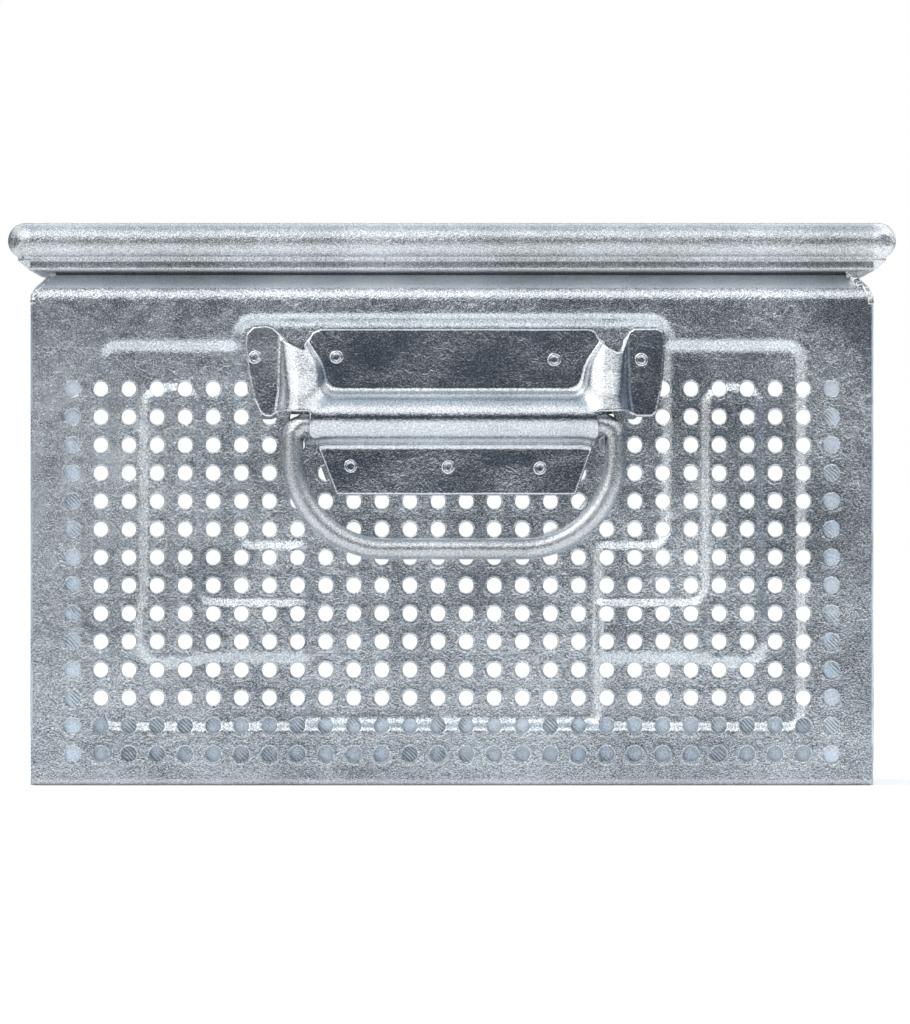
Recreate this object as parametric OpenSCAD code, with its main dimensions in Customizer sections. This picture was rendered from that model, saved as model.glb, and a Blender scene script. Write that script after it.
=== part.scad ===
/* [Box] */
// Width of the box body along X, outside the sheet
body_w = 300; // [280:10:320]
// Length of the box body along Y, outside the sheet
body_d = 400; // [380:10:600]
// Height of the box from the floor to the top of the rim
body_h = 200; // [190:5:240]
// Thickness of the sheet steel
sheet_t = 1.2; // [1:0.1:1.4]

/* [Perforation] */
// Diameter of the punched holes
hole_d = 5.2; // [4:0.1:6]
// Distance between hole centres on the front, left and right walls
pitch = 10; // [9.8:0.1:10.2]
// Distance between hole centres on the rear wall
rear_pitch = 10.26; // [10:0.02:10.3]
// Height that the rear wall's rows spread from
rear_centre_z = 97.2; // [96:0.1:98]
// Distance between drain holes in the floor
drain_pitch = 20; // [20:5:40]
// Height of the lowest row of holes
first_row_z = 11; // [10:0.5:12]
// Number of hole rows in each wall
rows = 14; // [10:1:14]

/* [Pressed panel] */
// Depth of the wide pressed field below the margin
field_depth = 1.6; // [1.2:0.1:2]
// Depth of the middle field below the margin
middle_depth = 2.8; // [2.6:0.1:3]
// Height of the raised L bead above the wide field
bead_h = 1.3; // [1:0.1:1.5]

/* [Stacking rim] */
// How far the rim stands out from the body
rim_out = 8; // [7.6:0.1:8.4]
// Outer radius of the rolled edge
roll_r = 6.4; // [6:0.1:6.8]
// How far the neck under the rim is drawn in
neck_in = 6.9; // [6:0.1:7.5]

/* [Handle] */
// Diameter of the handle rod
rod_d = 7.6; // [7:0.1:7.8]
// Half of the distance between the middles of the handle's legs
leg_x = 57.4; // [56:0.1:58]
// Radius of the handle's lower corners, at the middle of the rod
corner_r = 33; // [28:1:34]
// Height of the handle's pivot above the floor
pivot_z = 128.4; // [128.2:0.1:128.8]
// Drop from the pivot to the middle of the grip
handle_drop = 44.35; // [42:0.05:46]
// Sideways place of the front handle's middle
handle_x = 0.7; // [0:0.1:1]

/* [Hidden] */
$fn = 64;
zinc = "silver";
half_w = body_w / 2;
half_d = body_d / 2;

// Heights up the wall
neck_z = body_h - 18.5;
shoulder_z = neck_z - 7.5;
roll_z = body_h - roll_r;
roll_u = rim_out - roll_r;
hem_u = 0.6;

// The end walls stop short of the corner, so that the side sheet's bend shows beside them
end_gap = 0.7;
edge_chamfer = 0.7;
flange_w = 18.5;
bend_r = 2.4;
pan_side_lip = 12;
pan_end_lip = 24.2;

// The pressed fields, as distances from the wall's middle and heights above the floor
field_edge = 25.8;
field_low = 20.8;
field_high = 156.4;
middle_low = 22.4;
middle_step = 85.4;
middle_high = 165.5;
middle_narrow = 52;
middle_wide = 76.5;
bevel = 4;
bead_low = 45.2;
bead_wide = 19.7;
bead_high = 141.6;
bead_out = 40.2;

// The handle plate, measured from the handle's middle
channel_z = 130.5;
channel_r = 8.6;
channel_u = 2.2;
channel_half = 51;
horn_x = 54.5;
horn_r = 8.8;
horn_end_r = 4.2;
horn_low = 133.2;
horn_high = 155.8;
pivot_u = 4.2;
top_bend_r = 5;
stub_end = 30;
plate_back = half_d - middle_depth;
pivot_y = plate_back + pivot_u;
weld_spots = [[-70.1, 152.3], [-41.1, 152.3], [36.4, 151.4], [67.4, 151.4],
    [-36.1, 113.5], [-1.4, 113.2], [31.3, 112.8]];
weld_d = 4.6;
weld_h = 0.35;

// Outlines of the pressed fields, grown by g
function field_points(half, g) = let (x = half - field_edge + g)
    [[-x, field_low - g], [x, field_low - g], [x, field_high + g], [-x, field_high + g]];

function middle_points(wide, narrow, g) =
    let (w = wide + g, n = narrow + g, low = middle_low - g, step = middle_step - g,
        high = middle_high + g)
    [[-n + bevel, low], [n - bevel, low], [n, low + bevel], [n, step], [w, step],
        [w, high - bevel], [w - bevel, high], [-w + bevel, high], [-w, high - bevel],
        [-w, step], [-n, step], [-n, low + bevel]];

function bead_points(half, start, g) =
    let (out = half - bead_out + g, back = half - bead_out - bead_wide - g,
        low = bead_low - g, ledge = bead_low + bead_wide + g, high = bead_high + g)
    [[start - g, low], [out - bevel, low], [out, low + bevel], [out, high - bevel],
        [out - bevel, high], [back + bevel, high], [back, high - bevel],
        [back, ledge + bevel], [back - bevel, ledge], [start - g, ledge]];

// A slab in the plane of the front wall, between two depths below its outer face
module slab(face, from, to) {
    translate([0, to - face, 0])
        rotate([90, 0, 0])
            linear_extrude(to - from)
                children();
}

// A section in distance outwards and height, run along X for the wall whose face is at -Y
module run_along(face, half) {
    translate([-half, -face, 0])
        rotate([90, 0, 90])
            linear_extrude(2 * half)
                mirror([1, 0])
                    children();
}

module wall_section() {
    polygon([[-edge_chamfer, 0], [0, edge_chamfer], [0, shoulder_z], [-neck_in, neck_z],
        [-neck_in - sheet_t, neck_z], [-neck_in - sheet_t, neck_z - sheet_t / 2],
        [-sheet_t, shoulder_z - sheet_t / 2], [-sheet_t, 0]]);
}

// Everything between the mitred corners of one side
module mitre(face, half, cut, out) {
    deep = 12;
    linear_extrude(body_h + 1)
        polygon([[-half + cut, -face - out], [half - cut, -face - out], [half - cut, -face + cut],
            [half - deep, -face + deep], [-half + deep, -face + deep], [-half + cut, -face + cut]]);
}

module mirrored() {
    children();
    mirror([1, 0, 0])
        children();
}

// One perforated and pressed wall, with its outer face at -Y
module pressed_wall(face, half, wide, narrow, cut, columns, step, centre_z) {
    difference() {
        union() {
            difference() {
                union() {
                    intersection() {
                        run_along(face, half) wall_section();
                        mitre(face, half, cut, 1);
                    }
                    slab(face, 0, field_depth + sheet_t)
                        polygon(field_points(half, sheet_t));
                    slab(face, 0, middle_depth + sheet_t)
                        polygon(middle_points(wide, narrow, sheet_t));
                }
                slab(face, -1, field_depth)
                    polygon(field_points(half, 0));
                slab(face, -1, middle_depth)
                    polygon(middle_points(wide, narrow, 0));
            }
            mirrored()
                slab(face, field_depth - bead_h, field_depth + sheet_t)
                    polygon(bead_points(half, narrow, 0));
        }
        mirrored()
            slab(face, field_depth - bead_h + sheet_t, middle_depth + sheet_t + 1)
                polygon(bead_points(half, narrow, -sheet_t));
        scale_z = step / pitch;
        for (column = [0:columns - 1], row = [0:rows - 1]) {
            x = (column - (columns - 1) / 2) * step;
            z = centre_z + (first_row_z + row * pitch - centre_z) * scale_z;
            translate([x, middle_depth + 2 * sheet_t - face, z])
                rotate([90, 0, 0])
                    cylinder(d = hole_d, h = middle_depth + 4 * sheet_t);
        }
    }
}

module end_wall(step) {
    columns = 2 * floor((half_w - 10) / pitch);
    pressed_wall(half_d, half_w, middle_wide, middle_narrow, end_gap, columns, step, rear_centre_z);
}

// A side wall: the sheet, and the flanges behind the end walls that it turns in to
module side_wall() {
    columns = 2 * floor((half_d - 10) / pitch);
    bend_x = half_d - sheet_t - bend_r;
    difference() {
        pressed_wall(half_w, half_d, half_d - 100, half_d - 130, 0, columns, pitch, rear_centre_z);
        mirrored()
            translate([bend_x, -half_w - 1, -1])
                cube([half_d, sheet_t + 2, shoulder_z]);
    }
    mirrored()
        linear_extrude(shoulder_z - 1)
            intersection() {
                difference() {
                    flange_outline(0);
                    flange_outline(sheet_t);
                }
                translate([bend_x, -half_w])
                    square([half_d, flange_w]);
            }
}

// The side wall seen from above, with rounded bends, shrunk by g
module flange_outline(g) {
    x = half_d - sheet_t - g;
    y = half_w - g;
    r = bend_r - g;
    translate([-x + r, -y])
        square([2 * (x - r), 2 * flange_w]);
    translate([-x, -y + r])
        square([2 * x, 2 * flange_w]);
    for (side = [-1, 1])
        translate([side * (x - r), -y + r])
            circle(r);
}

module front_wall() {
    color(zinc) end_wall(pitch);
}

module rear_wall() {
    color(zinc) rotate([0, 0, 180]) end_wall(rear_pitch);
}

module right_wall() {
    color(zinc) rotate([0, 0, 90]) side_wall();
}

module left_wall() {
    color(zinc) rotate([0, 0, -90]) side_wall();
}

module floor_pan() {
    x = half_w - sheet_t;
    y = half_d - middle_depth - sheet_t;
    end_inset = 2 * sheet_t + 1;
    across = floor((x - 10) / drain_pitch);
    along = floor((y - 10) / drain_pitch);
    color(zinc)
        difference() {
            union() {
                translate([-x, -y, 0])
                    cube([2 * x, 2 * y, sheet_t]);
                for (side = [0, 180])
                    rotate([0, 0, side]) {
                        translate([-x + end_inset, -y, 0])
                            cube([2 * (x - end_inset), sheet_t, pan_end_lip]);
                        translate([-x, -y + flange_w, 0])
                            cube([sheet_t, 2 * (y - flange_w), pan_side_lip]);
                    }
            }
            for (i = [-across:across], j = [-along:along])
                translate([i * drain_pitch, j * drain_pitch, -1])
                    cylinder(d = hole_d, h = sheet_t + 2);
        }
}

// The rim's section in distance outwards and height: a rolled edge on an inclined seat
module rim_section() {
    seat = [[-neck_in - sheet_t, neck_z], [-neck_in, neck_z], [-0.5, neck_z + 2.3],
        [2, neck_z + 3.4], [4.1, neck_z + 5]];
    difference() {
        union() {
            intersection() {
                translate([roll_u, roll_z])
                    circle(roll_r);
                translate([hem_u, roll_z - roll_r])
                    square(2 * roll_r);
            }
            polygon(concat(seat, [[5.9, neck_z + 7.4], [5.9, roll_z], [hem_u, roll_z],
                [hem_u, neck_z + 4.2], [-neck_in - sheet_t, neck_z + sheet_t]]));
        }
        intersection() {
            translate([roll_u, roll_z])
                circle(roll_r - sheet_t);
            translate([hem_u + sheet_t, roll_z - roll_r])
                square(2 * roll_r);
        }
    }
}

module rim_strip(face, half) {
    color(zinc)
        intersection() {
            run_along(face, half) rim_section();
            mitre(face, half, 0, rim_out + 1);
        }
}

module front_rim() rim_strip(half_d, half_w);

module rear_rim() rotate([0, 0, 180]) rim_strip(half_d, half_w);

module right_rim() rotate([0, 0, 90]) rim_strip(half_w, half_d);

module left_rim() rotate([0, 0, -90]) rim_strip(half_w, half_d);

// The rolled edge's round corner, swept about the body's upright edge
module rim_corner(turn, x, y) {
    color(zinc)
        translate([x, y, 0])
            rotate([0, 0, turn])
                rotate_extrude(angle = 90)
                    intersection() {
                        rim_section();
                        square([rim_out + 1, body_h + 1]);
                    }
}

module rim_corner_front_left() rim_corner(180, -half_w, -half_d);

module rim_corner_front_right() rim_corner(270, half_w, -half_d);

module rim_corner_rear_left() rim_corner(90, -half_w, half_d);

module rim_corner_rear_right() rim_corner(0, half_w, half_d);

// The space that the walls close in, to trim the corner welds against
module body_mass() {
    intersection() {
        body_wedge(half_w, half_d);
        rotate([0, 0, 90])
            body_wedge(half_d, half_w);
    }
}

module body_wedge(x, y) {
    translate([0, y, 0])
        rotate([90, 0, 0])
            linear_extrude(2 * y)
                polygon([[-x, 0], [x, 0], [x, shoulder_z], [x - neck_in, neck_z], [x - neck_in, body_h],
                    [neck_in - x, body_h], [neck_in - x, neck_z], [-x, shoulder_z]]);
}

// A short weld up each mitred shoulder corner
module corner_welds() {
    weld_r = 1.7;
    run = norm([neck_in, neck_in, neck_z - shoulder_z]);
    tilt = atan2(norm([neck_in, neck_in]), neck_z - shoulder_z);
    color("gray")
        for (sx = [-1, 1], sy = [-1, 1])
            difference() {
                translate([sx * half_w, sy * half_d, shoulder_z])
                    rotate([0, 0, atan2(-sy, -sx)])
                        rotate([0, tilt, 0])
                            translate([0, 0, 1])
                                cylinder(r = weld_r, h = run - 3);
                body_mass();
            }
}

// Things on the front handle plate: distance outwards from the plate's back, along -Y
module on_plate(u) {
    translate([handle_x, -plate_back - u, 0])
        children();
}

// The plate's flat outline; the slanted notches beside the horns differ from side to side
module plate_outline() {
    flap_right = [[43.3, 103.2], [49.6, 120.5], [50.4, 124], [50.4, horn_low]];
    tab_right = [[61.6, horn_low], [65, 131], [70.4, 131], [72.1, 132.6], [73.9, 141], [75.2, 158.4],
        [72.8, 162.6], [64.4, 162.6], [62.4, 161.4]];
    notch_right = [[59.6, 154.4], [58, 154.4], [52.2, 158.2], [50.4, 161.4], [48.6, 162.4]];
    notch_left = [[-47.5, 162.4], [-50.5, 161], [-52.7, 155.2], [-61.1, 158.6]];
    tab_left = [[-64.3, 162.8], [-66.7, 163.6], [-71.6, 163.2], [-74, 160.6], [-74.4, 157],
        [-71.2, 137.3], [-69, 132.4], [-67.1, 131], [-64.7, 131], [-61.9, horn_low]];
    flap_left = [[-50.4, horn_low], [-50.4, 124], [-48.6, 120.5], [-41.9, 103.2]];
    polygon(concat(flap_right, tab_right, notch_right, notch_left, tab_left, flap_left));
}

module channel_and_horns(shell) {
    on_plate(channel_u)
        rotate([0, 90, 0])
            translate([-channel_z, 0, -channel_half])
                cylinder(r = channel_r - shell, h = 2 * channel_half);
    for (side = [-1, 1])
        on_plate(channel_u)
            translate([side * horn_x, 0, horn_low])
                cylinder(r1 = horn_r - shell, r2 = horn_end_r - shell, h = horn_high - horn_low);
}

module handle_plate() {
    difference() {
        union() {
            on_plate(0)
                rotate([90, 0, 0])
                    linear_extrude(sheet_t)
                        plate_outline();
            channel_and_horns(0);
        }
        channel_and_horns(sheet_t);
        translate([-half_w, -plate_back, 0])
            cube([body_w, 4 * channel_r, body_h]);
    }
}

module front_handle_plate() {
    color(zinc) handle_plate();
}

module rear_handle_plate() {
    color(zinc) rotate([0, 0, 180]) handle_plate();
}

module plate_welds() {
    color("gray")
        for (spot = weld_spots)
            translate([spot[0], -sheet_t - plate_back, spot[1]])
                rotate([90, 0, 0])
                    cylinder(d = weld_d, h = weld_h);
}

module front_plate_welds() plate_welds();

module rear_plate_welds() rotate([0, 0, 180]) plate_welds();

// One half of the handle from the middle of the grip, in the plane of its loop
module half_handle() {
    r = rod_d / 2;
    leg_low = corner_r - handle_drop;
    translate([0, 0, -handle_drop])
        rotate([0, 90, 0])
            cylinder(r = r, h = leg_x - corner_r);
    translate([leg_x - corner_r, 0, leg_low])
        rotate([90, 0, 0])
            rotate([0, 0, -90])
                rotate_extrude(angle = 90)
                    translate([corner_r, 0])
                        circle(r);
    translate([leg_x, 0, leg_low])
        cylinder(r = r, h = -top_bend_r - leg_low);
    translate([leg_x - top_bend_r, 0, -top_bend_r])
        rotate([90, 0, 0])
            rotate_extrude(angle = 90)
                translate([top_bend_r, 0])
                    circle(r);
    translate([stub_end, 0, 0])
        rotate([0, 90, 0])
            cylinder(r = r, h = leg_x - top_bend_r - stub_end);
}

module swing_handle() {
    translate([handle_x, -pivot_y, pivot_z])
        mirrored()
            half_handle();
}

module front_handle() {
    color("lightgray") swing_handle();
}

module rear_handle() {
    color("lightgray") rotate([0, 0, 180]) swing_handle();
}

floor_pan();
front_wall();
rear_wall();
left_wall();
right_wall();
front_rim();
rear_rim();
left_rim();
right_rim();
rim_corner_front_left();
rim_corner_front_right();
rim_corner_rear_left();
rim_corner_rear_right();
corner_welds();
front_handle_plate();
rear_handle_plate();
front_plate_welds();
rear_plate_welds();
front_handle();
rear_handle();
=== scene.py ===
"""The looks of a perforated galvanised stacking box with a drop handle at each end."""

import math

import bmesh
import bpy
import numpy as np
from mathutils import Matrix, Vector


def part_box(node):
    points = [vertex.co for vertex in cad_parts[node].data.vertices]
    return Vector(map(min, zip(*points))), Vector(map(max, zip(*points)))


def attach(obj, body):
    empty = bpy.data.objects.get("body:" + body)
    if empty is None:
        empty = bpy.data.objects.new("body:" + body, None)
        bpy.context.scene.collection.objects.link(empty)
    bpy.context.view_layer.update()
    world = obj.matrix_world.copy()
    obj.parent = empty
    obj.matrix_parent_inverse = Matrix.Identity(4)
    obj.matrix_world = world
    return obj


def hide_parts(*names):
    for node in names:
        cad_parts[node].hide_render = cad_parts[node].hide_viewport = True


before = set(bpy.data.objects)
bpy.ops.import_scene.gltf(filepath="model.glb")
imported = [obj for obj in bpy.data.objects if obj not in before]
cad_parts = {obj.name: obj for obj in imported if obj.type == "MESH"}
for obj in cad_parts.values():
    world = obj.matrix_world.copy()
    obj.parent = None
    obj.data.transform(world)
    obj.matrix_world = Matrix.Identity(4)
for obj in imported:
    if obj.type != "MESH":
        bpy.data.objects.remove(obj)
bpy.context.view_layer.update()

MM = 0.001

# Sizes in millimetres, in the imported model's frame.
HALF_W = -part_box("left_wall")[0].x / MM
HALF_D = -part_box("left_rim")[0].y / MM
SHEET = 1.2
NECK_IN = 6.9
NECK_Z = 181.5
SHOULDER_Z = 175.2
HOLE_R = 2.6
PITCH = 10.0
REAR_PITCH = 10.26
ROWS = 14
END_COLUMNS = 28
SIDE_COLUMNS = 38
FIRST_ROW_Z = 11.0
FIELD_DEPTH = 1.6
MIDDLE_DEPTH = 2.8
BEAD_H = 1.3
PLATE_BACK = HALF_D - MIDDLE_DEPTH
HANDLE_X = 0.7

# The photograph's frame, and the long lens that shows the end wall flat on.
PHOTO_W = 910
PHOTO_H = 1024
PIXELS_PER_MM = 2.81
BOX_CENTRE_X = 452
FLOOR_Y = 785
LENS = 1500.0
SENSOR = 36.0
CAMERA_Z = (FLOOR_Y - PHOTO_H / 2) / PIXELS_PER_MM


# Camera, light and ground

def make_camera():
    data = bpy.data.cameras.new("photo_camera")
    data.lens = LENS
    data.sensor_width = SENSOR
    data.clip_start = 0.1
    data.clip_end = 100
    camera = bpy.data.objects.new("photo_camera", data)
    distance = PHOTO_H / PIXELS_PER_MM * LENS / SENSOR
    x = (PHOTO_W / 2 - BOX_CENTRE_X) / PIXELS_PER_MM
    camera.location = Vector((x, -HALF_D - distance, CAMERA_Z)) * MM
    camera.rotation_euler = (math.pi / 2, 0, 0)
    bpy.context.collection.objects.link(camera)
    bpy.context.scene.camera = camera


class Nodes:
    """A short way to write a node tree."""

    def __init__(self, tree):
        self.tree = tree
        tree.nodes.clear()

    def add(self, kind, inputs=(), **settings):
        node = self.tree.nodes.new("ShaderNode" + kind)
        for name, value in settings.items():
            setattr(node, name, value)
        for key, value in dict(inputs).items():
            if isinstance(value, bpy.types.NodeSocket):
                self.tree.links.new(value, node.inputs[key])
            else:
                node.inputs[key].default_value = value
        return node

    def math(self, operation, *values):
        node = self.add("Math", operation=operation)
        for i, value in enumerate(values):
            if isinstance(value, bpy.types.NodeSocket):
                self.tree.links.new(value, node.inputs[i])
            else:
                node.inputs[i].default_value = value
        return node.outputs[0]

    def ramp(self, factor, stops):
        node = self.add("ValToRGB", {"Fac": factor})
        elements = node.color_ramp.elements
        while len(elements) < len(stops):
            elements.new(0.5)
        for element, (place, value) in zip(elements, stops):
            element.position = place
            colour = (value, value, value) if isinstance(value, (int, float)) else value
            element.color = (*colour, 1)
        return node.outputs["Color"]


def make_world():
    """White to the camera. To the metal: a dim studio, a bright ceiling, and a lamp wall at each corner.

    The lamp walls to the left of each face are bright and the ones to its right are dim and bluish.
    """
    world = bpy.data.worlds.new("studio")
    bpy.context.scene.world = world
    world.use_nodes = True
    n = Nodes(world.node_tree)
    direction = n.add("TexCoord").outputs["Generated"]
    axes = n.add("SeparateXYZ", {"Vector": direction})
    x, y, up = (axes.outputs[name] for name in "XYZ")
    level = n.math("ADD", n.math("MULTIPLY", x, x), n.math("MULTIPLY", y, y))
    corner = n.math("DIVIDE", n.math("MULTIPLY", x, y), n.math("MAXIMUM", level, 0.001))
    bright = (1.0, 1.0, 1.0)
    dim = (0.26, 0.31, 0.37)
    none = (0.0, 0.0, 0.0)
    sides = n.ramp(n.math("ADD", corner, 0.5), [(0.0, dim), (0.12, dim), (0.28, none), (0.70, none),
                                                (0.88, bright), (1.0, bright)])
    place = n.math("MULTIPLY_ADD", up, 0.5, 0.5)
    dusk = (0.036, 0.054, 0.080)
    above = n.ramp(place, [(0.0, 0.2), (0.49, (0.055, 0.07, 0.092)), (0.53, dusk), (0.60, dusk),
                           (0.66, (0.22, 0.24, 0.27)), (0.73, 1.0), (0.88, 1.0), (0.94, (0.60, 0.66, 0.71)),
                           (1.0, (0.50, 0.58, 0.65))])
    low = n.ramp(place, [(0.0, 0.0), (0.48, 0.25), (0.52, 0.88), (0.72, 0.94), (0.80, 0.0)])
    lamps = n.add("VectorMath", {0: sides, 1: low}, operation="MULTIPLY").outputs[0]
    glow = n.add("VectorMath", {0: above, 1: lamps}, operation="MAXIMUM").outputs[0]
    studio = n.add("Background", {"Color": glow, "Strength": 1.32})
    white = n.add("Background", {"Color": (1, 1, 1, 1), "Strength": 1.0})
    path = n.add("LightPath")
    seen = n.math("MAXIMUM", path.outputs["Is Camera Ray"], path.outputs["Is Transmission Ray"])
    mix = n.add("MixShader", {0: seen, 1: studio.outputs[0], 2: white.outputs[0]})
    n.add("OutputWorld", {"Surface": mix.outputs[0]})


def make_floor():
    """A white table: lit near the box, and dimmer away from it where only the metal sees it."""
    size = 60.0
    mesh = bpy.data.meshes.new("studio_floor")
    corners = [(-size, -size, 0), (size, -size, 0), (size, size, 0), (-size, size, 0)]
    mesh.from_pydata(corners, [], [(0, 1, 2, 3)])
    floor = bpy.data.objects.new("studio_floor", mesh)
    floor.location.z = -0.0002
    bpy.context.collection.objects.link(floor)
    material = bpy.data.materials.new("floor_paper")
    material.use_nodes = True
    n = Nodes(material.node_tree)
    place = n.add("TexCoord").outputs["Object"]
    reach = n.add("VectorMath", {0: place}, operation="LENGTH").outputs["Value"]
    away = n.math("DIVIDE", reach, 5.0)
    paper = n.ramp(away, [(0.0, 0.8), (0.10, 0.78), (0.18, 0.42), (0.30, 0.14), (1.0, 0.05)])
    white = n.ramp(away, [(0.0, 0.34), (0.06, 0.38), (0.12, 0.55), (0.18, 0.75), (0.30, 0.95), (1.0, 1.0)])
    shown = n.ramp(away, [(0.0, (0.33, 0.34, 0.35)), (0.10, (0.32, 0.33, 0.34)), (0.20, 0.13), (0.34, 0.0),
                          (1.0, 0.0)])
    # Painted shadow: right under the box and at its edge the glow that the metal sees is dimmed, so the
    # bottom edge reflects a dark contact line.
    axes = n.add("SeparateXYZ", {"Vector": place})
    aside = n.math("SUBTRACT", n.math("ABSOLUTE", axes.outputs["X"]), HALF_W * MM)
    ahead = n.math("SUBTRACT", n.math("ABSOLUTE", axes.outputs["Y"]), HALF_D * MM)
    clear = n.math("MULTIPLY", n.math("MAXIMUM", aside, ahead), 80.0)
    painted_contact_shadow = n.ramp(clear, [(0.0, 0.04), (0.25, 0.5), (1.0, 1.0)])
    shown = n.add("VectorMath", {0: shown, 1: painted_contact_shadow}, operation="MULTIPLY").outputs[0]
    path = n.add("LightPath")
    diffuse = n.add("BsdfDiffuse", {"Color": paper})
    lit = n.add("Emission", {"Color": white, "Strength": path.outputs["Is Camera Ray"]})
    seen = n.add("Emission", {"Color": shown, "Strength": path.outputs["Is Glossy Ray"]})
    both = n.add("AddShader", {0: lit.outputs[0], 1: seen.outputs[0]})
    both = n.add("AddShader", {0: diffuse.outputs[0], 1: both.outputs[0]})
    n.add("OutputMaterial", {"Surface": both.outputs[0]})
    mesh.materials.append(material)


def make_lamp(name, place, aim, size, power):
    data = bpy.data.lights.new(name, "AREA")
    data.shape = "RECTANGLE"
    data.size = size[0]
    data.size_y = size[1]
    data.energy = power
    lamp = bpy.data.objects.new(name, data)
    lamp.location = place
    lamp.rotation_euler = (Vector(aim) - Vector(place)).to_track_quat("-Z", "Y").to_euler()
    bpy.context.collection.objects.link(lamp)


# Materials

def galvanised(name, slot, colour, rough, tilt, grain, swirl, mottle, worn=None, streaks=False):
    """Hot-dip zinc: tiny crystals that each lean their own way, under a fine grain and patches of swirls.

    rough is the mean roughness, tilt the crystals' lean, grain and swirl the strength of the two bumps,
    and mottle the share by which the colour varies. worn is the middle, the radius and the strength of a
    place where the zinc is rougher, in metres. streaks adds diagonal scratches on upright parts.
    """
    material = bpy.data.materials.new(name)
    material["slot"] = slot
    material.use_nodes = True
    n = Nodes(material.node_tree)
    place = n.add("TexCoord").outputs["Object"]
    bend = n.add("TexNoise", {"Vector": place, "Scale": 150.0, "Detail": 3.0})
    shift = n.add("VectorMath", {0: bend.outputs["Color"], 1: (0.012, 0.012, 0.012)},
                  operation="MULTIPLY")
    warped = n.add("VectorMath", {0: place, 1: shift.outputs[0]}, operation="ADD").outputs[0]
    crystal = n.add("TexVoronoi", {"Vector": place, "Scale": 1900.0})
    lean = n.add("VectorMath", {0: crystal.outputs["Color"], 1: (0.5, 0.5, 0.5)}, operation="SUBTRACT")
    lean = n.add("VectorMath", {0: lean.outputs[0], "Scale": tilt}, operation="SCALE")
    normal = n.add("NewGeometry").outputs["Normal"]
    leaning = n.add("VectorMath", {0: normal, 1: lean.outputs[0]}, operation="ADD")
    leaning = n.add("VectorMath", {0: leaning.outputs[0]}, operation="NORMALIZE").outputs[0]
    cloud = n.add("TexNoise", {"Vector": place, "Scale": 20.0, "Detail": 6.0,
                               "Roughness": 0.62}).outputs["Fac"]
    rubbed = cloud
    shine = n.math("MULTIPLY_ADD", cloud, 0.24, rough - 0.12)
    if worn:
        centre, radius, gain = worn
        away = n.add("VectorMath", {0: place, 1: centre}, operation="DISTANCE").outputs["Value"]
        ragged = n.math("MULTIPLY_ADD", bend.outputs["Fac"], 0.9, n.math("DIVIDE", away, 2 * radius))
        extra = n.ramp(ragged, [(0.30, 0.32), (0.7, 0.16), (1.0, 0.0)])
        rubbed = n.math("ADD", cloud, extra)
        shine = n.math("ADD", shine, n.math("MULTIPLY", extra, gain))
    speck = n.add("TexNoise", {"Vector": place, "Scale": 1800.0, "Detail": 2.0, "Roughness": 0.75})
    curl = n.add("TexNoise", {"Vector": warped, "Scale": 260.0, "Detail": 5.0, "Distortion": 1.8})
    fine = n.add("Bump", {"Height": speck.outputs["Fac"], "Strength": grain, "Distance": 0.0004,
                          "Normal": leaning})
    patch = n.ramp(rubbed, [(0.43, 0.12), (0.60, 1.0)])
    waves = n.math("MULTIPLY", curl.outputs["Fac"], patch)
    wavy = n.add("Bump", {"Height": waves, "Strength": swirl, "Distance": 0.0012,
                          "Normal": fine.outputs["Normal"]})
    tint = n.ramp(n.math("MULTIPLY_ADD", speck.outputs["Fac"], 0.7, n.math("MULTIPLY", cloud, 0.3)),
                  [(0.36, tuple(c * (1 - mottle) for c in colour)), (0.5, colour),
                   (0.64, tuple(min(1.0, c * (1 + mottle)) for c in colour))])
    if streaks:
        # Upright parts keep the painted bluish light of the base colour, and parts at the floor, below
        # about 4 mm, turn darker and warmer; diagonal scratches in places.
        height = n.math("MULTIPLY", n.add("SeparateXYZ", {"Vector": place}).outputs["Z"], 100.0)
        lines = n.add("TexWave", {"Vector": place, "Scale": 420.0, "Distortion": 3.0, "Detail": 2.0},
                      bands_direction="DIAGONAL").outputs["Fac"]
        where = n.add("TexNoise", {"Vector": place, "Scale": 75.0}).outputs["Fac"]
        scratched = n.math("MULTIPLY", lines, n.ramp(where, [(0.50, 0.0), (0.60, 0.6)]))
        upright = n.ramp(height, [(0.3, 0.0), (0.4, 1.0)])
        left = n.math("SUBTRACT", 1.0, n.math("MULTIPLY", scratched, upright))
        tint = n.add("VectorMath", {0: tint, "Scale": left}, operation="SCALE").outputs[0]
        cast = n.ramp(height, [(0.3, (0.80, 0.72, 0.65)), (0.4, 1.0)])
        tint = n.add("VectorMath", {0: tint, 1: cast}, operation="MULTIPLY").outputs[0]
    surface = n.add("BsdfPrincipled", {"Base Color": tint, "Metallic": 1.0, "Roughness": shine,
                                       "Normal": wavy.outputs["Normal"]})
    n.add("OutputMaterial", {"Surface": surface.outputs[0]})
    return material


# Mesh helpers: all points in millimetres

def weld_points(points, faces):
    """Joins points that coincide, and drops the ones that no face uses."""
    keys = np.round(points, 4)
    _, first, where = np.unique(keys, axis=0, return_index=True, return_inverse=True)
    faces = where.reshape(-1)[faces]
    used, packed = np.unique(faces, return_inverse=True)
    return first[used], packed.reshape(faces.shape)


def shell_faces(quads, count):
    """The faces of a sheet whose back is the front's points again, count places on."""
    edges = np.concatenate([quads[:, [i, (i + 1) % 4]] for i in range(4)])
    edges = edges[edges[:, 0] != edges[:, 1]]
    code = edges[:, 0].astype(np.int64) * (count + 1) + edges[:, 1]
    back = edges[:, 1].astype(np.int64) * (count + 1) + edges[:, 0]
    rim = edges[~np.isin(code, back)]
    sides = np.column_stack([rim[:, 1], rim[:, 0], rim[:, 0] + count, rim[:, 1] + count])
    return np.concatenate([quads, quads[:, ::-1] + count, sides])


def clean(face):
    """A face as a tuple, without the corner that a triangle repeats."""
    out = []
    for corner in face:
        if corner not in out:
            out.append(corner)
    return tuple(out)


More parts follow.
